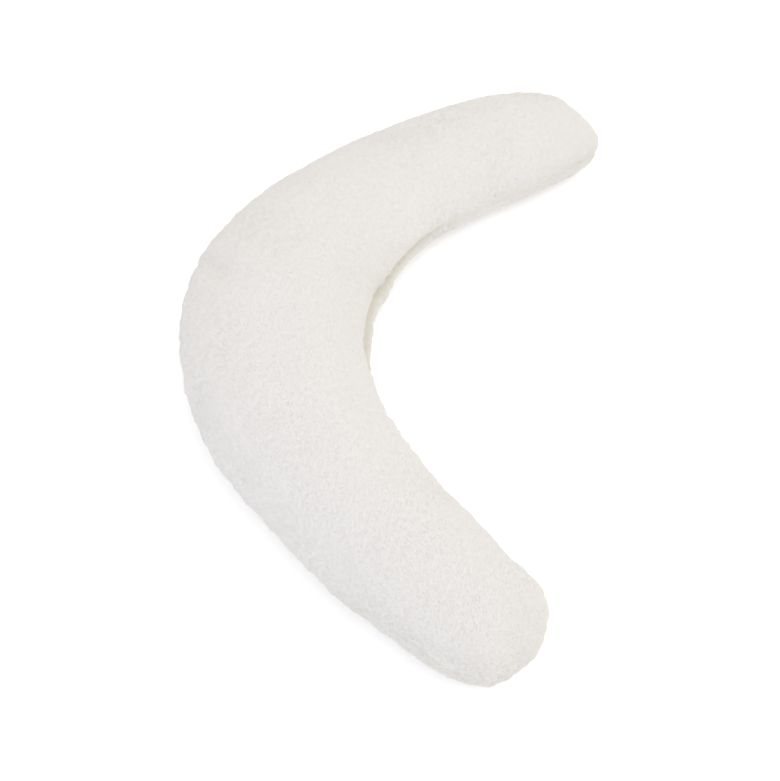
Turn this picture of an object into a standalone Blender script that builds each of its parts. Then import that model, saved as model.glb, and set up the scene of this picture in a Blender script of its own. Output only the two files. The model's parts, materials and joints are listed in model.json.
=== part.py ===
"""Crescent body pillow: two plush crescents sewn together round the edge, turned and filled.

The filled pillow is one closed solid. It lies on its back on the plane z = 0: its crown is up,
its sides draw in to the seam, and its own weight presses the underside flat.
X runs from tip to tip, the crescent opens towards -Y, and the origin is under the middle of the
bounding box.
"""
import math

import bmesh
import bpy
from mathutils import Matrix, Vector

# ---- Driving dimensions, in metres and degrees -------------------------------------------------
LEFT_ARM = 0.785            # centreline from the middle of the bend to the tip at -X
RIGHT_ARM = 0.825           # the same to the tip at +X
PILLOW_WIDTH = 0.36         # across the middle of the bend
PILLOW_HEIGHT = 0.175       # floor to crown at the middle of the bend

BEND_TURN = 41.5            # how far the middle bend turns each arm away from X
BEND_REACH = 0.28           # distance along the centreline in which most of that turn happens
LEFT_CURL = 20.0            # further, even turn of the left arm out to its tip
RIGHT_CURL = 23.0           # the same for the right arm

LEFT_END = 0.12             # length of the rounded end of each arm
RIGHT_END = 0.16
LEFT_END_POWER = 2.5        # 2 is an elliptical end, more is squarer
RIGHT_END_POWER = 2.2
LEFT_END_SKEW = 0.01        # how far the tip leans to the inner side of the crescent
RIGHT_END_SKEW = 0.04

SIDE_POWER = 0.80           # exponents of the section: 1 is an ellipse, less is fuller
CROWN_POWER = 0.92
SEAM_DRAW_IN = 0.012        # how far the seam lies inside the fullest part of the sides
SEAM_DRAW_REACH = 0.014     # height above and below the seam over which the sides fill out again
SEAM_HEIGHT_SHARE = 0.86    # seam height as a share of the half height; below 1 flattens the base
SLIM_HEIGHT_SHARE = 0.45    # share of the height that stays as the pillow gets narrower

# Half widths along each arm, as shares of the arm's length and of half the pillow's width.
WIDTH_ROWS = (
    # share of arm, left arm, right arm
    (0.00, 1.00, 1.00),
    (0.25, 0.88, 0.86),
    (0.55, 0.73, 0.71),
    (1.00, 0.57, 0.62),
)

# ---- Mesh resolution ---------------------------------------------------------------------------
LENGTH_SEGMENTS = 72
ROUND_SEGMENTS = 48
SEAM_CROWDING = 0.4         # 0 spaces section points evenly, 1 packs them against the seam
CENTRELINE_STEPS = 400
CUT_TOLERANCE = 0.0001

PLUSH_COLOUR = (0.80, 0.79, 0.76, 1.0)
PLUSH_ROUGHNESS = 0.95
SMOOTH_ANGLE = math.radians(50)

HALF_WIDTH = PILLOW_WIDTH / 2
HALF_HEIGHT = PILLOW_HEIGHT / (1 + SEAM_HEIGHT_SHARE)


def clear_scene():
    for thing in list(bpy.data.objects):
        bpy.data.objects.remove(thing, do_unlink=True)


def arm_length(station):
    return LEFT_ARM if station < 0 else RIGHT_ARM


def heading(station):
    """Angle of the centreline below the X axis, at a signed distance from the bend's middle."""
    curl = LEFT_CURL if station < 0 else RIGHT_CURL
    turn = BEND_TURN * math.tanh(station / BEND_REACH) + curl * station / arm_length(station)
    return math.radians(turn)


def walk_centreline(length):
    """Points of the centreline from the bend's middle to a tip; a negative length goes left."""
    step = length / CENTRELINE_STEPS
    points = [Vector((0.0, 0.0, 0.0))]
    for index in range(CENTRELINE_STEPS):
        angle = heading((index + 0.5) * step)
        points.append(points[-1] + Vector((math.cos(angle), -math.sin(angle), 0.0)) * step)
    return points


def point_on_centreline(centrelines, station):
    points = centrelines["left" if station < 0 else "right"]
    place = abs(station) / arm_length(station) * CENTRELINE_STEPS
    index = min(int(place), CENTRELINE_STEPS - 1)
    return points[index].lerp(points[index + 1], place - index)


def row_slope(rows, index, column):
    """Slope of a table's column at a row; the first row is the middle of the bend, and level."""
    if index == 0:
        return 0.0
    before = rows[index - 1]
    after = rows[min(index + 1, len(rows) - 1)]
    return (after[column] - before[column]) / (after[0] - before[0])


def table_value(rows, share, column):
    """A column of a table at a share of the arm, on a smooth curve through its rows."""
    index = max(i for i in range(len(rows) - 1) if rows[i][0] <= share)
    low, high = rows[index], rows[index + 1]
    span = high[0] - low[0]
    t = (share - low[0]) / span
    rise = high[column] - low[column]
    start = row_slope(rows, index, column) * span
    end = row_slope(rows, index + 1, column) * span
    return low[column] + t * (start + t * (3 * rise - 2 * start - end + t * (start + end - 2 * rise)))


def signed_power(value, power):
    return math.copysign(abs(value) ** power, value)


def surface_point(centrelines, share, angle):
    """The pillow's surface at a share of its length (-1 to 1) and an angle round its section.

    Angle 0 is the seam on the outer side of the crescent, and 90 degrees is the crown.
    """
    if share < 0:
        end_length, end_power, end_skew = LEFT_END, LEFT_END_POWER, LEFT_END_SKEW
    else:
        end_length, end_power, end_skew = RIGHT_END, RIGHT_END_POWER, RIGHT_END_SKEW
    station = share * arm_length(share)
    along_arm = abs(share)
    half_width = HALF_WIDTH * table_value(WIDTH_ROWS, along_arm, 1 if share < 0 else 2)
    slimness = SLIM_HEIGHT_SHARE + (1 - SLIM_HEIGHT_SHARE) * half_width / HALF_WIDTH
    half_height = HALF_HEIGHT * slimness

    into_end = max(0.0, 1 - (1 - along_arm) * arm_length(share) / end_length)
    closing = (1 - into_end ** end_power) ** (1 / end_power)
    width_share = closing * signed_power(math.cos(angle), SIDE_POWER)
    rise = half_height * math.sqrt(closing) * signed_power(math.sin(angle), CROWN_POWER)

    # The seam is drawn in square to the outline: across the arms, and lengthwise at the tips.
    lengthwise = math.copysign(into_end ** (end_power - 1) / end_length, share)
    across = signed_power(width_share, end_power - 1) / half_width
    draw_in = Vector((lengthwise, across)).normalized() if lengthwise or across else Vector((0, 0))
    draw_in *= SEAM_DRAW_IN * math.exp(-(rise / SEAM_DRAW_REACH) ** 2)

    skew = end_skew * into_end ** 2
    angle_below_x = heading(station)
    forward = Vector((math.cos(angle_below_x), -math.sin(angle_below_x), 0.0))
    outward = Vector((math.sin(angle_below_x), math.cos(angle_below_x), 0.0))
    point = point_on_centreline(centrelines, station)
    point += forward * -draw_in.x + outward * (width_share * half_width - skew - draw_in.y)
    point.z = SEAM_HEIGHT_SHARE * half_height + rise
    return point


def shape_sphere_to_pillow(bm):
    """Moves each vertex of a unit sphere, whose poles are on X, to its place on the pillow."""
    centrelines = {"left": walk_centreline(-LEFT_ARM), "right": walk_centreline(RIGHT_ARM)}
    for vert in bm.verts:
        share = max(-1.0, min(1.0, vert.co.x))
        even_angle = math.atan2(vert.co.z, vert.co.y)
        angle = even_angle - SEAM_CROWDING / 2 * math.sin(2 * even_angle)
        vert.co = surface_point(centrelines, share, angle)


def press_base_flat(bm):
    """Cuts the pillow at the floor and closes the cut with one flat face."""
    everything = bm.verts[:] + bm.edges[:] + bm.faces[:]
    cut = bmesh.ops.bisect_plane(bm, geom=everything, dist=CUT_TOLERANCE, plane_co=(0, 0, 0),
                                 plane_no=(0, 0, 1), clear_inner=True)
    rim = [item for item in cut["geom_cut"] if isinstance(item, bmesh.types.BMEdge)]
    bmesh.ops.edgeloop_fill(bm, edges=rim)
    bmesh.ops.recalc_face_normals(bm, faces=bm.faces)


def centre_over_origin(bm):
    for axis in (0, 1):
        places = [vert.co[axis] for vert in bm.verts]
        middle = (min(places) + max(places)) / 2
        for vert in bm.verts:
            vert.co[axis] -= middle


def plush_material():
    material = bpy.data.materials.new("off-white plush")
    material.use_nodes = True
    shader = material.node_tree.nodes["Principled BSDF"]
    shader.inputs["Base Color"].default_value = PLUSH_COLOUR
    shader.inputs["Roughness"].default_value = PLUSH_ROUGHNESS
    shader.inputs["Metallic"].default_value = 0.0
    material.diffuse_color = PLUSH_COLOUR
    return material


def make_pillow(collection):
    bm = bmesh.new()
    poles_on_x = Matrix.Rotation(math.radians(90), 4, "Y")
    bmesh.ops.create_uvsphere(bm, u_segments=ROUND_SEGMENTS, v_segments=LENGTH_SEGMENTS,
                              radius=1.0, matrix=poles_on_x)
    shape_sphere_to_pillow(bm)
    press_base_flat(bm)
    centre_over_origin(bm)
    mesh = bpy.data.meshes.new("pillow")
    bm.to_mesh(mesh)
    bm.free()
    mesh.shade_smooth()
    mesh.set_sharp_from_angle(angle=SMOOTH_ANGLE)
    mesh.materials.append(plush_material())
    pillow = bpy.data.objects.new("pillow", mesh)
    collection.objects.link(pillow)


def main():
    clear_scene()
    collection = bpy.data.collections.new("body pillow")
    bpy.context.scene.collection.children.link(collection)
    make_pillow(collection)


main()
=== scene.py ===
"""Crescent body pillow: a filled plush cover with its seam, folds and pile, on a pale floor."""
import json
import math

import bmesh
import bpy
import numpy as np
from mathutils import Matrix, Vector, noise
from mathutils.kdtree import KDTree

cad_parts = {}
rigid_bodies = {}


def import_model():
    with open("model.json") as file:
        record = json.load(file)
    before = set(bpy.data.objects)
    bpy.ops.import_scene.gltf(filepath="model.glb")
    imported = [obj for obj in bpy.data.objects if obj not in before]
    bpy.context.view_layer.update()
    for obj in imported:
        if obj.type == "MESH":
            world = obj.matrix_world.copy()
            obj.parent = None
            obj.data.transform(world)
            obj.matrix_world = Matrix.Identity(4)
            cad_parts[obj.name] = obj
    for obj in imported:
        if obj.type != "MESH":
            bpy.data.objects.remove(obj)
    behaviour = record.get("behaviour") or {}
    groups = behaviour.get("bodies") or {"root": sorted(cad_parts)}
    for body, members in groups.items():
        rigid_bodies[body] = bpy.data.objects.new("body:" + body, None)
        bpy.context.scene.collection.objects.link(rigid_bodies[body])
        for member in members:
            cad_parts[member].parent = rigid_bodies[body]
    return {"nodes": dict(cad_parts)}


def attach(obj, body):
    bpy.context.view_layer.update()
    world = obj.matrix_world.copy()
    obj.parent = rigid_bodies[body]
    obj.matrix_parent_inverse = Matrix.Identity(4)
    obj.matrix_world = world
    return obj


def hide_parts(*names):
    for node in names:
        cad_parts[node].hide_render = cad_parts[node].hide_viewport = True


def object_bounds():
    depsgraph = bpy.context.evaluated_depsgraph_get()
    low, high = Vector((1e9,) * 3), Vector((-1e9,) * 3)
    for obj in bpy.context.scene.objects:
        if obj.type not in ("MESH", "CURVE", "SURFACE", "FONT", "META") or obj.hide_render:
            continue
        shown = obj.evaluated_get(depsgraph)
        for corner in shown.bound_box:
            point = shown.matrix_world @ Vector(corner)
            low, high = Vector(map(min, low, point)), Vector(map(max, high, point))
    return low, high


bl_info = {
    "name": "Crescent Body Pillow",
    "version": (1, 0, 0),
    "blender": (4, 5, 0),
    "location": "3D View > Sidebar > Pillow",
    "description": "Fills, folds and covers a crescent body pillow in plush",
    "category": "Add Mesh",
}

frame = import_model()
CAD_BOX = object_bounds()
NODE = "pillow"
BODY = "root"

MM = 0.001
FLOOR_TOUCH = 2 * MM        # what lies lower than this rests on the floor


# ---- Small helpers -----------------------------------------------------------------------------
def deselect_all():
    for thing in bpy.context.view_layer.objects:
        thing.select_set(False)


def select_only(thing):
    deselect_all()
    thing.select_set(True)
    bpy.context.view_layer.objects.active = thing


def apply_modifier(thing, modifier):
    select_only(thing)
    bpy.ops.object.modifier_apply(modifier=modifier.name)


def read_vectors(items, name):
    vectors = np.empty(len(items) * 3, np.float32)
    items.foreach_get(name, vectors)
    return vectors.reshape(-1, 3).astype(float)


def read_points(mesh):
    return read_vectors(mesh.vertices, "co")


def read_normals(mesh):
    return read_vectors(mesh.vertex_normals, "vector")


def write_points(mesh, points):
    mesh.vertices.foreach_set("co", points.astype(np.float32).ravel())
    mesh.update()


def write_values(mesh, name, values):
    attribute = mesh.attributes.new(name, "FLOAT", "POINT")
    attribute.data.foreach_set("value", values.astype(np.float32))


def read_values(mesh, name):
    values = np.empty(len(mesh.vertices), np.float32)
    mesh.attributes[name].data.foreach_get("value", values)
    return values


def smooth_step(values, low, high):
    """0 at low, 1 at high and an S-curve between them."""
    t = np.clip((values - low) / (high - low), 0, 1)
    return t * t * (3 - 2 * t)


def srgb(hex_colour):
    """Linear RGBA of an sRGB hex colour such as "#F2EFEA"."""
    channels = [int(hex_colour[i:i + 2], 16) / 255 for i in (1, 3, 5)]
    linear = [c / 12.92 if c <= 0.04045 else ((c + 0.055) / 1.055) ** 2.4 for c in channels]
    return (*linear, 1.0)


def add_node(tree, kind, settings=None, inputs=None):
    """Adds a node. inputs gives, by socket name or number, a value or the socket it is fed from."""
    node = tree.nodes.new(kind)
    for name, value in (settings or {}).items():
        setattr(node, name, value)
    for socket, value in (inputs or {}).items():
        if isinstance(value, bpy.types.NodeSocket):
            tree.links.new(value, node.inputs[socket])
        else:
            node.inputs[socket].default_value = value
    return node


# ---- Settings ----------------------------------------------------------------------------------
class PillowCoverSettings(bpy.types.PropertyGroup):
    """How the cover is filled and how its cloth behaves."""

    cloth_grid: bpy.props.FloatProperty(
        name="Cloth grid", description="Distance between the points of the simulated cover",
        default=8 * MM, min=4 * MM, max=20 * MM, subtype="DISTANCE", unit="LENGTH", precision=4)
    start_inset: bpy.props.FloatProperty(
        name="Start inset", description="How far inside its final size the cover starts to fill",
        default=1 * MM, min=0.0, max=20 * MM, subtype="DISTANCE", unit="LENGTH", precision=4)
    pressure: bpy.props.FloatProperty(
        name="Filling pressure", description="Pressure of the filling on the cover",
        default=4.0, min=0.0, max=30.0)
    fill_frames: bpy.props.IntProperty(
        name="Filling frames", description="Frames that the filling is simulated for",
        default=24, min=2, max=120)
    most_movement: bpy.props.FloatProperty(
        name="Most movement", description="Furthest that any point of the cover may move",
        default=10 * MM, min=0.0, max=40 * MM, subtype="DISTANCE", unit="LENGTH", precision=4)
    seam_swell: bpy.props.FloatProperty(
        name="Seam swell", description="How far the stuffing swells where the seam has no pull",
        default=12 * MM, min=0.0, max=20 * MM, subtype="DISTANCE", unit="LENGTH", precision=4)
    swell_reach: bpy.props.FloatProperty(
        name="Swell reach", description="Distance from the seam in which that swelling dies out",
        default=14 * MM, min=2 * MM, max=60 * MM, subtype="DISTANCE", unit="LENGTH", precision=4)
    seam_surplus: bpy.props.FloatProperty(
        name="Seam surplus", description="Cloth gathered into the seam, as a share of its length",
        default=0.07, min=0.0, max=0.3, subtype="FACTOR")
    seam_surplus_reach: bpy.props.FloatProperty(
        name="Seam surplus reach", description="How far into the panels the gathers fade out",
        default=70 * MM, min=10 * MM, max=200 * MM, subtype="DISTANCE", unit="LENGTH")
    fill: bpy.props.FloatProperty(
        name="Fill", description="How full the cushion is, from slack to tight",
        default=0.8, min=0.0, max=1.0, subtype="FACTOR")
    groove_depth: bpy.props.FloatProperty(
        name="Groove depth", description="How far the stitching pulls the cloth in at the seam",
        default=8 * MM, min=0.0, max=20 * MM, subtype="DISTANCE", unit="LENGTH", precision=4)
    groove_width: bpy.props.FloatProperty(
        name="Groove width", description="Half width of the groove at the seam",
        default=7.5 * MM, min=2 * MM, max=30 * MM, subtype="DISTANCE", unit="LENGTH", precision=4)
    least_groove: bpy.props.FloatProperty(
        name="Least groove", description="Share of the groove's depth where the seam pulls least",
        default=0.32, min=0.0, max=1.0, subtype="FACTOR")
    # Painted shade: how far from the seam its darker shade colour is painted. The pile is shortened
    # over the same distance.
    seam_shade_width: bpy.props.FloatProperty(
        name="Crush width", description="Distance from the seam over which the pile is crushed",
        default=17 * MM, min=1 * MM, max=60 * MM, subtype="DISTANCE", unit="LENGTH", precision=4)
    gather_height: bpy.props.FloatProperty(
        name="Gather height", description="Height of the ripples beside the seam",
        default=1.2 * MM, min=0.0, max=10 * MM, subtype="DISTANCE", unit="LENGTH", precision=4)
    gather_spacing: bpy.props.FloatProperty(
        name="Gather spacing", description="Rough distance between ripples along the seam",
        default=22 * MM, min=5 * MM, max=200 * MM, subtype="DISTANCE", unit="LENGTH")
    gather_reach: bpy.props.FloatProperty(
        name="Gather reach", description="Distance from the seam at which ripples are highest",
        default=14 * MM, min=2 * MM, max=100 * MM, subtype="DISTANCE", unit="LENGTH")
    clump_size: bpy.props.FloatProperty(
        name="Clump size", description="Distance between clumps of pile",
        default=15 * MM, min=2 * MM, max=60 * MM, subtype="DISTANCE", unit="LENGTH", precision=4)
    clump_height: bpy.props.FloatProperty(
        name="Clump height", description="How far the clumps of pile stand out",
        default=2.4 * MM, min=0.0, max=10 * MM, subtype="DISTANCE", unit="LENGTH", precision=4)


class PillowPileSettings(bpy.types.PropertyGroup):
    """Length, density and colour of the plush."""

    pile_length: bpy.props.FloatProperty(
        name="Pile length", description="Length of a tuft of the plush",
        default=5.5 * MM, min=1 * MM, max=30 * MM, subtype="DISTANCE", unit="LENGTH", precision=4)
    tuft_width: bpy.props.FloatProperty(
        name="Tuft width", description="Half width of a tuft at its root",
        default=0.5 * MM, min=0.1 * MM, max=10 * MM, subtype="DISTANCE", unit="LENGTH", precision=4)
    tuft_spacing: bpy.props.FloatProperty(
        name="Tuft spacing", description="Average distance between the roots of two tufts",
        default=2.2 * MM, min=1 * MM, max=20 * MM, subtype="DISTANCE", unit="LENGTH", precision=4)
    least_rise: bpy.props.FloatProperty(
        name="Least rise", description="Flattest angle of a tuft to the cover",
        default=math.radians(6), subtype="ANGLE", unit="ROTATION")
    most_rise: bpy.props.FloatProperty(
        name="Most rise", description="Steepest angle of a tuft to the cover",
        default=math.radians(16), subtype="ANGLE", unit="ROTATION")
    clumping: bpy.props.FloatProperty(
        name="Clumping", description="How strongly tufts lean to the middle of their clump",
        default=0.3, min=0.0, max=3.0)
    scatter: bpy.props.FloatProperty(
        name="Scatter", description="How far tufts lean at random",
        default=0.22, min=0.0, max=2.0)
    brushing: bpy.props.FloatProperty(
        name="Brushing", description="How far brushed patches turn the tufts from the nap",
        default=1.2, min=0.0, max=5.0)
    brushed_size: bpy.props.FloatProperty(
        name="Brushed patches", description="Size of the patches brushed one way",
        default=90 * MM, min=10 * MM, max=1.0, subtype="DISTANCE", unit="LENGTH")
    colour: bpy.props.StringProperty(
        name="Plush colour", description="Off-white of the plush, as an sRGB hex value",
        default="#E7E5E3")
    # Painted shade: the pile is drawn darker at its roots, down among the tufts.
    root_shade_colour: bpy.props.StringProperty(
        name="Root colour", description="The plush at the roots of its pile, as an sRGB hex value",
        default="#DFDDDA")
    # Painted shade: the darker olive colour painted into the seam's groove, beside it and in the
    # shaded patches.
    seam_shade_colour: bpy.props.StringProperty(
        name="Seam colour", description="Flattened pile in the seam, as an sRGB hex value",
        default="#D1CEC2")
    seam_shortening: bpy.props.FloatProperty(
        name="Seam shortening", description="How much shorter the pile is where the seam holds it",
        default=0.7, min=0.0, max=1.0, subtype="FACTOR")


class PillowStageSettings(bpy.types.PropertyGroup):
    """Camera, lights and floor."""

    camera_turn: bpy.props.FloatProperty(
        name="Camera turn", description="Direction of the camera from the pillow, from +X",
        default=math.radians(-174.8), subtype="ANGLE", unit="ROTATION")
    camera_tilt: bpy.props.FloatProperty(
        name="Camera tilt", description="Angle of the camera away from straight above",
        default=math.radians(30), subtype="ANGLE", unit="ROTATION")
    camera_up: bpy.props.FloatProperty(
        name="Camera up", description="Direction on the floor that is up in the picture, from +X",
        default=math.radians(6.7), subtype="ANGLE", unit="ROTATION")
    camera_distance: bpy.props.FloatProperty(
        name="Camera distance", description="From the camera to the point that it looks at",
        default=1.888, min=0.5, max=10.0, subtype="DISTANCE", unit="LENGTH")
    camera_target: bpy.props.FloatVectorProperty(
        name="Camera target", description="The point in the middle of the picture",
        default=(-0.131, -0.024, 0.09), subtype="TRANSLATION", unit="LENGTH")
    lens: bpy.props.FloatProperty(
        name="Lens", description="Focal length of the camera",
        default=50.0, min=10.0, max=300.0, subtype="DISTANCE_CAMERA", unit="CAMERA")
    floor_size: bpy.props.FloatProperty(
        name="Floor size", description="Side of the square floor",
        default=40.0, min=2.0, max=200.0, subtype="DISTANCE", unit="LENGTH")
    floor_colour: bpy.props.StringProperty(
        name="Floor colour", description="Pale paint of the floor, as an sRGB hex value",
        default="#FBFBFB")
    floor_glow: bpy.props.FloatProperty(
        name="Floor glow", description="Light of the floor itself, as on a light table",
        default=0.17, min=0.0, max=2.0)
    room_light: bpy.props.FloatProperty(
        name="Room light", description="Strength of the light from all round",
        default=0.84, min=0.0, max=10.0)
    room_colour: bpy.props.StringProperty(
        name="Room colour", description="Colour of the light from all round, as an sRGB hex value",
        default="#FFFCF7")
    softbox_power: bpy.props.FloatProperty(
        name="Soft box power", description="Power of the soft box",
        default=48.0, min=0.0, max=5000.0, unit="POWER")
    softbox_size: bpy.props.FloatProperty(
        name="Soft box size", description="Diameter of the soft box",
        default=4.5, min=0.1, max=20.0, subtype="DISTANCE", unit="LENGTH")
    softbox_place: bpy.props.FloatVectorProperty(
        name="Soft box place", description="Middle of the soft box, which faces the pillow",
        default=(0.2, -1.2, 2.9), subtype="TRANSLATION", unit="LENGTH")
    softbox_colour: bpy.props.StringProperty(
        name="Soft box colour", description="Colour of the soft box, as an sRGB hex value",
        default="#F4F6FA")
    side_power: bpy.props.FloatProperty(
        name="Side box power", description="Power of the soft box beside the pillow",
        default=11.0, min=0.0, max=5000.0, unit="POWER")
    side_size: bpy.props.FloatProperty(
        name="Side box size", description="Diameter of the side soft box",
        default=2.0, min=0.1, max=20.0, subtype="DISTANCE", unit="LENGTH")
    side_place: bpy.props.FloatVectorProperty(
        name="Side box place", description="Middle of the side soft box, which faces the pillow",
        default=(-1.85, 1.25, 1.6), subtype="TRANSLATION", unit="LENGTH")
    side_colour: bpy.props.StringProperty(
        name="Side box colour", description="Colour of the side soft box, as an sRGB hex value",
        default="#C8D8FF")


# ---- The plush ---------------------------------------------------------------------------------
PATCH_SIZE = 60 * MM        # of the faintly lighter and darker patches of the plush
PATCH_STRENGTH = 0.3
PATCH_NOISE = {"Scale": 1 / PATCH_SIZE, "Detail": 2.0, "Roughness": 0.5}
PLUSH_FINISH = {"Roughness": 0.95, "Specular IOR Level": 0.15, "Sheen Weight": 0.3,
                "Sheen Roughness": 0.5}
MIX_FACTOR, MIX_FROM, MIX_TO, MIXED = 0, 6, 7, 2    # sockets of a Mix node that mixes colours


def plush_material(settings):
    """Polyester plush, brushed and sheared: matt, with painted shade among its roots and at the
    seam.
    """
    material = bpy.data.materials.new("brushed polyester plush")
    material.use_nodes = True
    tree = material.node_tree
    tree.nodes.clear()
    place = add_node(tree, "ShaderNodeTexCoord")
    patches = add_node(tree, "ShaderNodeTexNoise", {"noise_dimensions": "3D"},
                       {"Vector": place.outputs["Object"], **PATCH_NOISE})
    # Painted shade: roots are drawn in the darker root colour and tips in the plush colour, and
    # faint random patches shift between them.
    height = add_node(tree, "ShaderNodeAttribute", {"attribute_name": "pile_height"})
    depth = add_node(tree, "ShaderNodeMath", {"operation": "MULTIPLY_ADD"},
                     {0: patches.outputs["Fac"], 1: PATCH_STRENGTH, 2: height.outputs["Fac"]})
    shade = add_node(tree, "ShaderNodeMix", {"data_type": "RGBA", "clamp_factor": True},
                     {MIX_FACTOR: depth.outputs["Value"], MIX_FROM: srgb(settings.root_shade_colour),
                      MIX_TO: srgb(settings.colour)})
    # Painted shade: the seam's groove, its sides and the shaded patches are drawn in the darker seam
    # colour.
    seam = add_node(tree, "ShaderNodeAttribute", {"attribute_name": "seam_shade"})
    colour = add_node(tree, "ShaderNodeMix", {"data_type": "RGBA", "clamp_factor": True},
                      {MIX_FACTOR: seam.outputs["Fac"], MIX_FROM: shade.outputs[MIXED],
                       MIX_TO: srgb(settings.seam_shade_colour)})
    shader = add_node(tree, "ShaderNodeBsdfPrincipled", None,
                      {"Base Color": colour.outputs[MIXED], **PLUSH_FINISH})
    add_node(tree, "ShaderNodeOutputMaterial", None, {"Surface": shader.outputs["BSDF"]})
    return material


# ---- The cover ---------------------------------------------------------------------------------
WELD = 0.1 * MM             # the CAD mesh is loose triangles, and is merged at this distance
GROOVE_ANGLE = math.radians(20)     # how sharply the CAD solid is folded in at its seam
SEAM_STEP = 2 * MM          # between the points of the seam line
FREE_HEIGHT = 12 * MM       # above this the floor no longer flattens the cover
HELD_SHARE = 0.9            # of the cloth grid: the cloth this near the seam is held by it
FULL_SURPLUS = 0.3          # of the surplus reach: the gathers are full this near the seam
LEAST_WEIGHT = 0.001        # a point with less weight than this is left out of a vertex group
FINE_RIPPLES = 2.3          # how many fine ripples beside the seam go to a coarse one
FINE_SHARE = 0.5            # their height, as a share of the coarse ripples'
RIPPLE_GAIN = 2.7           # brings the noise of the ripples to a height of about 1
RIPPLE_END = 6              # in gather reaches, where the ripples stop
CLUMP_LEVEL = 0.5           # the height of a clump that stays level with the cover

# How the cloth behaves while it is filled: a light, stretchy knit that settles quickly.
CLOTH = {
    "quality": 6,
    "mass": 0.2,
    "tension_stiffness": 20,
    "compression_stiffness": 20,
    "shear_stiffness": 8,
    "bending_stiffness": 1.0,
    "tension_damping": 20,
    "compression_damping": 20,
    "bending_damping": 2,
    "air_damping": 2,
    "pin_stiffness": 1.0,
}

# How hard the stitching draws the cover in: a place on the seam and a reach in millimetres, and
# the share of the full pull there. Where it pulls little, the stuffing swells over it.
USUAL_PULL = 0.7
SEAM_PULLS = (
    # x, y, z,           reach, pull
    (320, -150, 67,      130, 0.1),         # inner side of the right arm
    (420, -270, 66,      130, 0.08),
    (500, -365, 65,      90, 0.08),
    (-230, 285, 80,      130, 0.3),         # outer side of the left arm
    (-400, 140, 75,      150, 0.1),
    (-540, -50, 75,      140, 0.08),
    (-600, -230, 68,     90, 0.2),
    (160, -20, 73,       80, 0.95),         # inner side of the bend
    (60, 25, 78,         110, 1.0),
    (-50, 25, 79,        90, 1.0),
)

# Where the stuffing is packed fuller, or slacker where the height is negative. In millimetres.
SWELLS = (
    # x, y, z,           reach, height
    (572, -305, 105,     45, -7.0),         # right tip
    (590, -235, 110,     50, -3.0),
    (498, -378, 72,      38, 5.0),
    (614, -286, 85,      28, 9.0),
    (560, -350, 85,      34, -9.5),
    (440, -350, 75,      42, -9.0),
    (622, -190, 90,      42, -4.5),
    (584, -286, 112,     24, 3.5),
    (519, -349, 108,     26, -3.5),
    (584, -171, 110,     30, -3.0),
    (350, -250, 72,      38, 7.0),
    (458, -344, 50,      32, -3.5),
    (381, -259, 50,      34, 3.5),
    (248, -80, 50,       40, -8.0),         # underside of the bend's inner edge
    (196, -33, 50,       26, -4.0),
    (95, 8, 50,          38, 9.0),
    (25, 22, 50,         30, -4.0),
    (344, 197, 110,      45, -3.0),         # back of the bend
    (179, 338, 85,       34, -2.5),
    (100, 369, 85,       22, 3.0),
    (106, 372, 78,       26, 8.0),
    (-51, 368, 78,       45, -3.0),
    (-115, 358, 75,      45, -4.0),
    (-291, 261, 75,      40, 1.5),          # outer side of the left arm
    (-405, 142, 75,      55, -4.5),
    (-345, 180, 45,      45, -3.0),
    (-508, 20, 75,       26, 9.0),
    (-172, -19, 110,     34, -3.5),         # and its inner side
    (-265, -90, 110,     30, 2.5),
    (-340, -180, 75,     45, 6.0),
    (-422, -271, 75,     38, -4.5),
    (-529, -313, 75,     26, -4.5),
    (-556, -308, 72,     18, 4.5),
    (-566, -301, 88,     24, 2.5),
    (-498, -316, 85,     24, -2.5),
    (-578, -280, 42,     26, -8.0),
)

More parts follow.
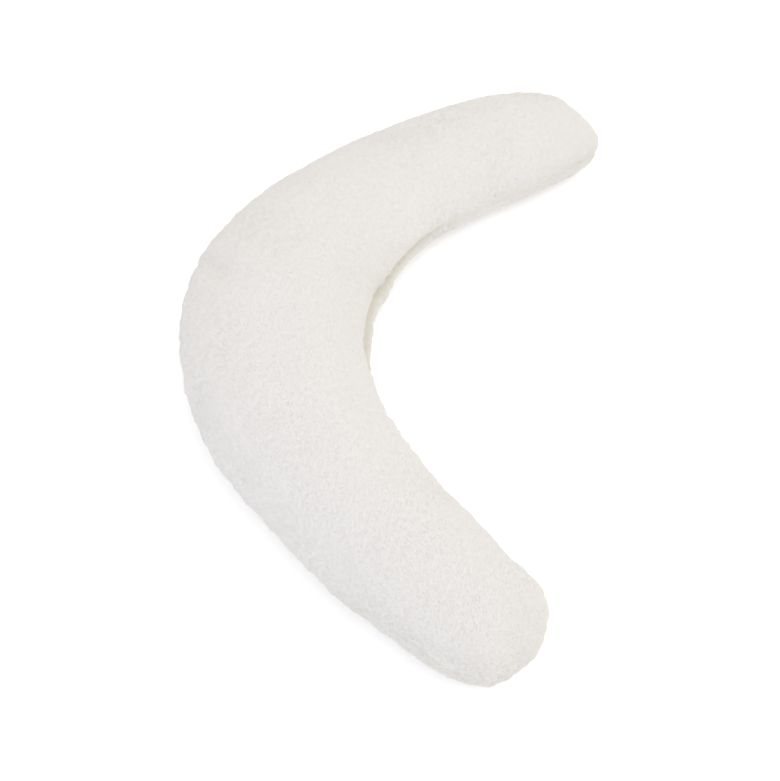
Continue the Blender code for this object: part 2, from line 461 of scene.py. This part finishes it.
# Folds pressed into the cover, or raised on it where the depth is negative. Each runs between two
# points, and is deepest in its middle. All in millimetres.
FOLD_END = 0.35             # depth of a fold at its ends, as a share of its depth in the middle
FOLDS = (
    # from x, y, z,      to x, y, z,         width, depth
    (100, 345, 105,      420, 95, 105,       50, -4.0),     # fullness of the outer side
    (-60, 352, 95,       -300, 235, 95,      45, -2.5),
    (400, 115, 105,      575, -120, 105,     40, -4.0),
    (-320, 222, 95,      -500, -5, 85,       45, 2.0),
    (-90, 12, 48,        110, -6, 48,        28, -3.0),     # and of the lower panel at the bend
    (66, 346, 130,       20, 284, 164,       25, 12.0),     # pucker at the back of the bend
    (84, 350, 116,       60, 334, 146,       14, 3.0),
    (45, 352, 118,       5, 300, 156,        16, -2.5),
    (-108, 340, 122,     -130, 298, 148,     11, 3.0),
    (-185, 306, 122,     -220, 284, 130,     10, 4.0),
    (-440, 50, 120,      -490, -8, 114,      22, 3.5),      # slack along the back of the left arm
    (-492, 10, 84,       -556, -84, 88,      9, 3.5),
    (-560, -96, 90,      -608, -186, 72,     11, 6.5),
    (-496, -262, 135,    -544, -280, 124,    22, 3.5),      # dip inside the left tip
    (-544, -280, 124,    -588, -240, 120,    22, 3.5),
    (-500, -268, 130,    -514, -314, 98,     8, 6.0),       # puckers of the left tip
    (-508, -288, 124,    -500, -308, 108,    7, -4.0),
    (-524, -280, 126,    -538, -312, 102,    8, 6.0),
    (-560, -252, 122,    -592, -288, 96,     11, 7.0),
    (-574, -280, 108,    -598, -302, 86,     8, -4.0),
    (-95, 24, 98,        75, 26, 98,         24, 14.0),     # upper panel drawn back at the bend
    (200, -40, 60,       400, -258, 60,      44, -2.0),     # fullness of the right arm's inside
    (-90, 60, 128,       100, 60, 128,       42, 4.0),      # its upper panel rolls into the seam
    (-110, 25, 110,      -330, -120, 105,    40, -2.5),     # and of the left arm's
    (52, -2, 92,         64, 46, 136,        10, 2.0),      # puckers of the inner bend
    (8, 14, 96,          12, 60, 146,        11, 2.0),
    (-44, 20, 98,        -40, 62, 146,       10, 1.6),
    (128, -30, 92,       150, 22, 130,       11, 2.0),
)


# Painted shade, darker and more yellow, where the tips turn down and where the upper panel rolls
# into the bend. The pile is shortened there too. The middle of a patch and its reach in millimetres,
# and the share of the seam's painted shade there.
SHADED_PATCHES = (
    # x, y, z,           reach, share
    (-522, -298, 105,    55, 0.26),         # left tip
    (-590, -262, 95,     45, 0.12),
    (485, -340, 105,     70, 0.2),          # right tip
    (-20, 42, 130,       70, 0.22),         # where the upper panel rolls into the bend
    (105, 18, 128,       70, 0.2),
)


def seam_line(node, inset):
    """Points along the seam, drawn in as the cover is, and the directions out of its groove.

    The seam is where two faces of the CAD solid meet in a groove.
    """
    bm = bmesh.new()
    bm.from_mesh(node.data)
    bmesh.ops.remove_doubles(bm, verts=bm.verts, dist=WELD)
    bm.normal_update()
    points, outward = [], []
    for edge in bm.edges:
        if edge.calc_face_angle_signed(0) > -GROOVE_ANGLE:
            continue
        start, end = edge.verts
        steps = max(1, round(edge.calc_length() / SEAM_STEP))
        for step in range(steps):
            share = (step + 0.5) / steps
            normal = start.normal.lerp(end.normal, share).normalized()
            points.append(start.co.lerp(end.co, share) - normal * inset)
            outward.append(normal)
    bm.free()
    return np.array(points), np.array(outward)


def nearest(targets, points):
    """Distance from each point to the nearest target, and that target's number."""
    tree = KDTree(len(targets))
    for index, place in enumerate(targets):
        tree.insert(place, index)
    tree.balance()
    found = [tree.find(point) for point in points]
    return np.array([hit[2] for hit in found]), np.array([hit[1] for hit in found])


def new_cover(node, settings):
    """A copy of the CAD solid, drawn in and meshed evenly, ready to be filled."""
    cover = bpy.data.objects.new("plush_cover", node.data.copy())
    bpy.context.scene.collection.objects.link(cover)
    cover.data.materials.clear()
    top = CAD_BOX[1][2] - settings.start_inset
    select_only(cover)
    bpy.ops.object.mode_set(mode="EDIT")
    bpy.ops.mesh.select_all(action="SELECT")
    bpy.ops.mesh.remove_doubles(threshold=WELD)
    bpy.ops.transform.shrink_fatten(value=-settings.start_inset)
    bpy.ops.object.mode_set(mode="OBJECT")
    remesh = cover.modifiers.new("even cloth", "REMESH")
    remesh.mode = "VOXEL"
    remesh.voxel_size = settings.cloth_grid
    apply_modifier(cover, remesh)
    points = read_points(cover.data)
    lift = points[:, 2].min()
    points[:, 2] -= lift * (1 - (points[:, 2] - lift) / (top - lift))
    write_points(cover.data, points)
    return cover


def reaches_away(points, middle, reach):
    """How far each point is from a middle, as a multiple of its reach. Both in millimetres."""
    return np.linalg.norm(points - np.array(middle) * MM, axis=1) / (reach * MM)


def seam_pulls(places):
    """How hard the stitching draws the cover in at places on the seam, from 0 to 1."""
    pulls = np.full(len(places), USUAL_PULL)
    for *middle, reach, pull in SEAM_PULLS:
        pulls += (pull - pulls) * np.exp(-reaches_away(places, middle, reach) ** 3)
    return pulls


def ease_seam(cover, seam, outward, settings):
    """Lets the stuffing swell over the seam where it pulls little. Returns the moved seam."""
    points = read_points(cover.data)
    from_seam, number = nearest(seam, points)
    swell = outward * settings.seam_swell * (1 - seam_pulls(seam))[:, None]
    share = np.exp(-(from_seam / settings.swell_reach) ** 2)
    write_points(cover.data, points + swell[number] * share[:, None])
    return seam + swell


def vertex_group(thing, name, weights):
    group = thing.vertex_groups.new(name=name)
    for index, weight in enumerate(weights):
        if weight > LEAST_WEIGHT:
            group.add([index], float(weight), "REPLACE")


def fill_cover(cover, seam, settings):
    """Simulates the filling: the cloth swells against its seam and gathers along it."""
    start, outward = read_points(cover.data), read_normals(cover.data)
    from_seam, _ = nearest(seam, start)
    held = (start[:, 2] < FLOOR_TOUCH) | (from_seam < HELD_SHARE * settings.cloth_grid)
    reach = settings.seam_surplus_reach
    surplus = 1 - smooth_step(from_seam, FULL_SURPLUS * reach, reach)
    vertex_group(cover, "held", held.astype(float))
    vertex_group(cover, "gathered", surplus)

    cloth = cover.modifiers.new("filling", "CLOTH")
    for name, value in CLOTH.items():
        setattr(cloth.settings, name, value)
    cloth.settings.effector_weights.gravity = 0
    cloth.settings.use_pressure = True
    cloth.settings.uniform_pressure_force = settings.pressure
    cloth.settings.vertex_group_mass = "held"
    cloth.settings.vertex_group_shrink = "gathered"
    cloth.settings.shrink_min = 0.0
    cloth.settings.shrink_max = -settings.seam_surplus
    cloth.collision_settings.use_collision = False
    cloth.collision_settings.use_self_collision = False
    cloth.point_cache.frame_start = 1
    cloth.point_cache.frame_end = settings.fill_frames
    for number in range(1, settings.fill_frames + 1):
        bpy.context.scene.frame_set(number)
    apply_modifier(cover, cloth)
    bpy.context.scene.frame_set(1)

    moved = read_points(cover.data) - start
    along = np.sum(moved * outward, axis=1, keepdims=True)
    moved -= outward * np.minimum(along, 0)     # the stuffing keeps the cloth from sinking in
    distance = np.linalg.norm(moved, axis=1)
    limit = settings.most_movement
    eased = limit * np.tanh(distance / limit)
    share = np.divide(eased, distance, out=np.ones_like(distance), where=distance > 0)
    points = start + moved * share[:, None]
    points[:, 2] = np.maximum(points[:, 2], 0)
    write_points(cover.data, points)
    cover.vertex_groups.clear()


def subdivide_cover(cover):
    smooth = cover.modifiers.new("smooth cloth", "SUBSURF")
    smooth.levels = 1
    smooth.render_levels = 1
    apply_modifier(cover, smooth)
    select_only(cover)
    bpy.ops.object.shade_smooth()


def fold_depths(points):
    """How far the folds move each point inwards."""
    depths = np.zeros(len(points))
    for *ends, width, depth in FOLDS:
        start, end = np.array(ends[:3]) * MM, np.array(ends[3:]) * MM
        run = end - start
        share = np.clip((points - start) @ run / (run @ run), 0, 1)
        aside = np.linalg.norm(points - start - share[:, None] * run, axis=1) / (width * MM)
        along = FOLD_END + (1 - FOLD_END) * np.sin(math.pi * share)
        depths += depth * MM * np.exp(-aside ** 2) * along
    return depths


def patch_sum(points, patches, scale):
    """Sum of soft round patches at each point. A patch has a middle, a reach and a strength."""
    total = np.zeros(len(points))
    for *middle, reach, strength in patches:
        total += strength * scale * np.exp(-reaches_away(points, middle, reach) ** 2)
    return total


def gather_heights(from_seam, number, seam, settings):
    """Ripples that run square to the seam, are highest a little beside it, and die out."""
    coarse = seam / settings.gather_spacing
    ripples = np.array([noise.noise(Vector(place))
                        + noise.noise(Vector(place * FINE_RIPPLES)) * FINE_SHARE
                        for place in coarse])
    away = from_seam / settings.gather_reach
    height = settings.gather_height * RIPPLE_GAIN * away * np.exp(1 - away)
    return height * ripples[number] * (away < RIPPLE_END)


def clump_heights(points, settings):
    """Rounded clumps of pile: 1 in the middle of a clump and near 0 between clumps."""
    size = settings.clump_size
    nearness = [noise.voronoi(Vector(point / size))[0][0] for point in points]
    return np.clip(1 - np.array(nearness), 0, 1)


def shape_cover(cover, seam, settings):
    """Presses the seam, the folds, the gathers and the clumps of the pile into the cover.

    Also stores where shade is painted along the seam and in the shaded patches.
    """
    mesh = cover.data
    points, normals = read_points(mesh), read_normals(mesh)
    off_floor = smooth_step(points[:, 2], 0, FREE_HEIGHT)
    from_seam, number = nearest(seam, points)
    pull = np.maximum(seam_pulls(seam), settings.least_groove)[number]
    groove = pull * np.exp(-(from_seam / settings.groove_width) ** 2)
    rise = gather_heights(from_seam, number, seam, settings) - fold_depths(points)
    rise += patch_sum(points, SWELLS, MM) - settings.groove_depth * groove
    rise += settings.clump_height * (clump_heights(points, settings) - CLUMP_LEVEL)
    points += normals * (rise * off_floor)[:, None]
    points[:, 2] = np.maximum(points[:, 2], 0)
    write_points(mesh, points)
    # Painted shade in and beside the seam's groove and in the shaded patches. The pile is also
    # shortened there.
    near_seam_shade = pull * np.exp(-(from_seam / settings.seam_shade_width) ** 2)
    write_values(mesh, "seam_shade", np.minimum(near_seam_shade + patch_sum(points, SHADED_PATCHES, 1), 1))


class PILLOW_OT_cover(bpy.types.Operator):
    """Fills the plush cover against its seam"""

    bl_idname = "pillow.cover"
    bl_label = "Fill the cover"

    def execute(self, context):
        settings = context.scene.pillow_cover
        node = frame["nodes"][NODE]
        seam, outward = seam_line(node, settings.start_inset)
        cover = new_cover(node, settings)
        seam = ease_seam(cover, seam, outward, settings)
        fill_cover(cover, seam, settings)
        subdivide_cover(cover)
        shape_cover(cover, seam, settings)
        cover.data.materials.append(plush_material(context.scene.pillow_pile))
        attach(cover, BODY)
        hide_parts(NODE)
        return {"FINISHED"}


# ---- The pile ----------------------------------------------------------------------------------
PILE_PIECES = ("pile_left_tip", "pile_left_arm", "pile_right_arm", "pile_right_tip")
PILE_SEED = 7
NAP = (1.0, 0.0, -0.2)      # the way the pile lies
# A tuft is a thin closed wedge: left and right root corners, a crest and a tip.
TUFT_FACES = np.array(((0, 3, 1), (0, 2, 3), (1, 3, 2), (0, 1, 2)))
TUFT_HEIGHTS = (0, 0, 0.6, 1)       # of those corners, as shares of the pile's height
ROOT_DEPTH = 0.2 * MM       # the roots stand this far inside the cover
CREST_PLACE = 0.35          # along the tuft, as a share of its length
CREST_RISE = 0.22           # above the line from root to tip, as a share of its half width
LENGTHS = (0.75, 1.15)      # shortest and longest tuft, as shares of the pile's length
WIDTHS = (0.8, 1.2)         # narrowest and widest, as shares of the tuft's width


def unit(vectors):
    return vectors / np.linalg.norm(vectors, axis=1, keepdims=True)


def tuft_roots(cover, spacing, rng):
    """Evenly scattered places on the cover, off its flat underside.

    Returns them with the cover's normals and seam shade there.
    """
    points, normals = read_points(cover.data), read_normals(cover.data)
    shades = read_values(cover.data, "seam_shade")
    corners = np.empty(len(cover.data.loops), np.int32)
    cover.data.loops.foreach_get("vertex_index", corners)
    quads = corners.reshape(-1, 4)
    quads = quads[points[quads][:, :, 2].max(axis=1) > FLOOR_TOUCH]
    diagonals = [points[quads[:, i + 2]] - points[quads[:, i]] for i in (0, 1)]
    reached = np.cumsum(np.linalg.norm(np.cross(*diagonals), axis=1) / 2)
    count = int(reached[-1] / spacing ** 2)
    places = (np.arange(count) + rng.random(count)) * reached[-1] / count
    quads = quads[np.searchsorted(reached, places).clip(0, len(quads) - 1)]
    u, v = rng.random((2, count, 1))
    weights = ((1 - u) * (1 - v), u * (1 - v), u * v, (1 - u) * v)
    roots = sum(weight * points[quads[:, i]] for i, weight in enumerate(weights))
    outward = sum(weight * normals[quads[:, i]] for i, weight in enumerate(weights))
    shade = sum(weight[:, 0] * shades[quads[:, i]] for i, weight in enumerate(weights))
    return roots, unit(outward), shade


def grow_tufts(roots, outward, shade, clump_size, settings, rng):
    """Corners of one lying tuft per root, as an array of tufts by corners by x, y and z."""
    count = len(roots)
    cells = [noise.voronoi(Vector(root / clump_size)) for root in roots]
    lean = np.array([cell[1][0] for cell in cells]) - roots / clump_size
    brushed = [noise.noise_vector(Vector(root / settings.brushed_size)) for root in roots]
    ahead = np.array(NAP) + settings.brushing * np.array(brushed) + settings.clumping * lean
    ahead += rng.normal(0, settings.scatter, (count, 3))
    ahead = unit(ahead - outward * np.sum(ahead * outward, axis=1, keepdims=True))
    aside = np.cross(outward, ahead)
    steepness = rng.random((count, 1)) ** 2
    rise = settings.least_rise + (settings.most_rise - settings.least_rise) * steepness
    axis = ahead * np.cos(rise) + outward * np.sin(rise)
    length = settings.pile_length * rng.uniform(*LENGTHS, (count, 1))
    length *= 1 - settings.seam_shortening * shade[:, None]
    half_width = settings.tuft_width * rng.uniform(*WIDTHS, (count, 1))
    corners = np.empty((count, 4, 3))
    corners[:, 0] = roots + aside * half_width - outward * ROOT_DEPTH
    corners[:, 1] = roots - aside * half_width - outward * ROOT_DEPTH
    corners[:, 2] = roots + axis * length * CREST_PLACE + outward * half_width * CREST_RISE
    corners[:, 3] = roots + axis * length
    corners[:, :, 2] = np.maximum(corners[:, :, 2], 0)
    return corners


def mesh_of_tufts(name, corners, shade):
    """One mesh of many tufts. Its attribute pile_height is 0 at the roots and 1 at the tips."""
    count = len(corners)
    mesh = bpy.data.meshes.new(name)
    faces = (TUFT_FACES[None] + 4 * np.arange(count)[:, None, None]).reshape(-1, 3)
    mesh.vertices.add(4 * count)
    mesh.loops.add(faces.size)
    mesh.polygons.add(len(faces))
    mesh.vertices.foreach_set("co", corners.astype(np.float32).ravel())
    mesh.loops.foreach_set("vertex_index", faces.astype(np.int32).ravel())
    mesh.polygons.foreach_set("loop_start", np.arange(0, faces.size, 3, dtype=np.int32))
    write_values(mesh, "pile_height", np.tile(TUFT_HEIGHTS, count))
    write_values(mesh, "seam_shade", np.repeat(shade, 4))
    mesh.update(calc_edges=True)
    mesh.shade_flat()
    return mesh


class PILLOW_OT_pile(bpy.types.Operator):
    """Grows the pile of the plush on the cover"""

    bl_idname = "pillow.pile"
    bl_label = "Grow the pile"

    def execute(self, context):
        settings = context.scene.pillow_pile
        rng = np.random.default_rng(PILE_SEED)
        noise.seed_set(PILE_SEED)   # or the brushed patches would differ from run to run
        cover = bpy.data.objects["plush_cover"]
        roots, outward, shade = tuft_roots(cover, settings.tuft_spacing, rng)
        order = np.argsort(roots[:, 0], kind="stable")
        roots, outward, shade = roots[order], outward[order], shade[order]
        clump_size = context.scene.pillow_cover.clump_size
        corners = grow_tufts(roots, outward, shade, clump_size, settings, rng)
        for name, share in zip(PILE_PIECES, np.array_split(np.arange(len(roots)), len(PILE_PIECES))):
            piece = bpy.data.objects.new(name, mesh_of_tufts(name, corners[share], shade[share]))
            context.scene.collection.objects.link(piece)
            piece.data.materials.append(cover.data.materials[0])
            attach(piece, BODY)
        return {"FINISHED"}


# ---- The stage ---------------------------------------------------------------------------------
SENSOR_WIDTH = 36           # of a full-frame camera, in millimetres as Blender's cameras take it
NEAREST_SEEN = 50 * MM


def add_camera(settings):
    tilt, turn, up = settings.camera_tilt, settings.camera_turn, settings.camera_up
    back = Vector((math.sin(tilt) * math.cos(turn), math.sin(tilt) * math.sin(turn),
                   math.cos(tilt)))
    right = Vector((math.cos(up), math.sin(up), 0)).cross(back).normalized()
    top = back.cross(right)
    bpy.ops.object.camera_add()
    camera = bpy.context.object
    camera.name = "camera"
    place = Vector(settings.camera_target) + back * settings.camera_distance
    axes = Matrix((right, top, back)).transposed()
    camera.matrix_world = Matrix.Translation(place) @ axes.to_4x4()
    camera.data.lens = settings.lens
    camera.data.sensor_width = SENSOR_WIDTH
    camera.data.clip_start = NEAREST_SEEN
    bpy.context.scene.camera = camera


def add_floor(settings):
    bpy.ops.mesh.primitive_plane_add(size=settings.floor_size, location=(0, 0, 0))
    floor = bpy.context.object
    floor.name = "floor"
    material = bpy.data.materials.new("matt white studio floor")
    material.use_nodes = True
    shader = material.node_tree.nodes["Principled BSDF"]
    shader.inputs["Base Color"].default_value = srgb(settings.floor_colour)
    shader.inputs["Emission Color"].default_value = srgb(settings.floor_colour)
    shader.inputs["Emission Strength"].default_value = settings.floor_glow
    shader.inputs["Roughness"].default_value = 1.0
    shader.inputs["Specular IOR Level"].default_value = 0.0
    floor.data.materials.append(material)


def add_softbox(name, place, size, power, colour):
    bpy.ops.object.light_add(type="AREA", location=place)
    softbox = bpy.context.object
    softbox.name = name
    softbox.data.shape = "DISK"
    softbox.data.size = size
    softbox.data.energy = power
    softbox.data.color = srgb(colour)[:3]
    softbox.rotation_mode = "QUATERNION"
    softbox.rotation_quaternion = softbox.location.to_track_quat("Z", "Y")


def add_lights(settings):
    """An even pale room, a large soft box almost overhead and a small one to the left."""
    world = bpy.data.worlds.new("studio room")
    bpy.context.scene.world = world
    world.use_nodes = True
    background = world.node_tree.nodes["Background"]
    background.inputs["Color"].default_value = srgb(settings.room_colour)
    background.inputs["Strength"].default_value = settings.room_light
    add_softbox("softbox", settings.softbox_place, settings.softbox_size, settings.softbox_power,
                settings.softbox_colour)
    add_softbox("side_softbox", settings.side_place, settings.side_size, settings.side_power,
                settings.side_colour)


class PILLOW_OT_stage(bpy.types.Operator):
    """Sets up the floor, the soft light and the camera"""

    bl_idname = "pillow.stage"
    bl_label = "Set the stage"

    def execute(self, context):
        deselect_all()
        add_camera(context.scene.pillow_stage)
        add_floor(context.scene.pillow_stage)
        add_lights(context.scene.pillow_stage)
        context.scene.view_settings.view_transform = "Standard"
        return {"FINISHED"}


class PILLOW_PT_panel(bpy.types.Panel):
    """Lists the steps that make the pillow"""

    bl_idname = "PILLOW_PT_panel"
    bl_label = "Crescent Body Pillow"
    bl_space_type = "VIEW_3D"
    bl_region_type = "UI"
    bl_category = "Pillow"

    def draw(self, context):
        for step in STEPS:
            self.layout.operator(step.bl_idname)


STEPS = (PILLOW_OT_cover, PILLOW_OT_pile, PILLOW_OT_stage)
SETTINGS = {"pillow_cover": PillowCoverSettings, "pillow_pile": PillowPileSettings,
            "pillow_stage": PillowStageSettings}


def register():
    for kind in (*SETTINGS.values(), *STEPS, PILLOW_PT_panel):
        bpy.utils.register_class(kind)
    for name, kind in SETTINGS.items():
        setattr(bpy.types.Scene, name, bpy.props.PointerProperty(type=kind))


def unregister():
    for name in SETTINGS:
        delattr(bpy.types.Scene, name)
    for kind in reversed((*SETTINGS.values(), *STEPS, PILLOW_PT_panel)):
        bpy.utils.unregister_class(kind)


def main():
    register()
    bpy.ops.pillow.cover()
    bpy.ops.pillow.pile()
    bpy.ops.pillow.stage()


if __name__ == "__main__":
    main()
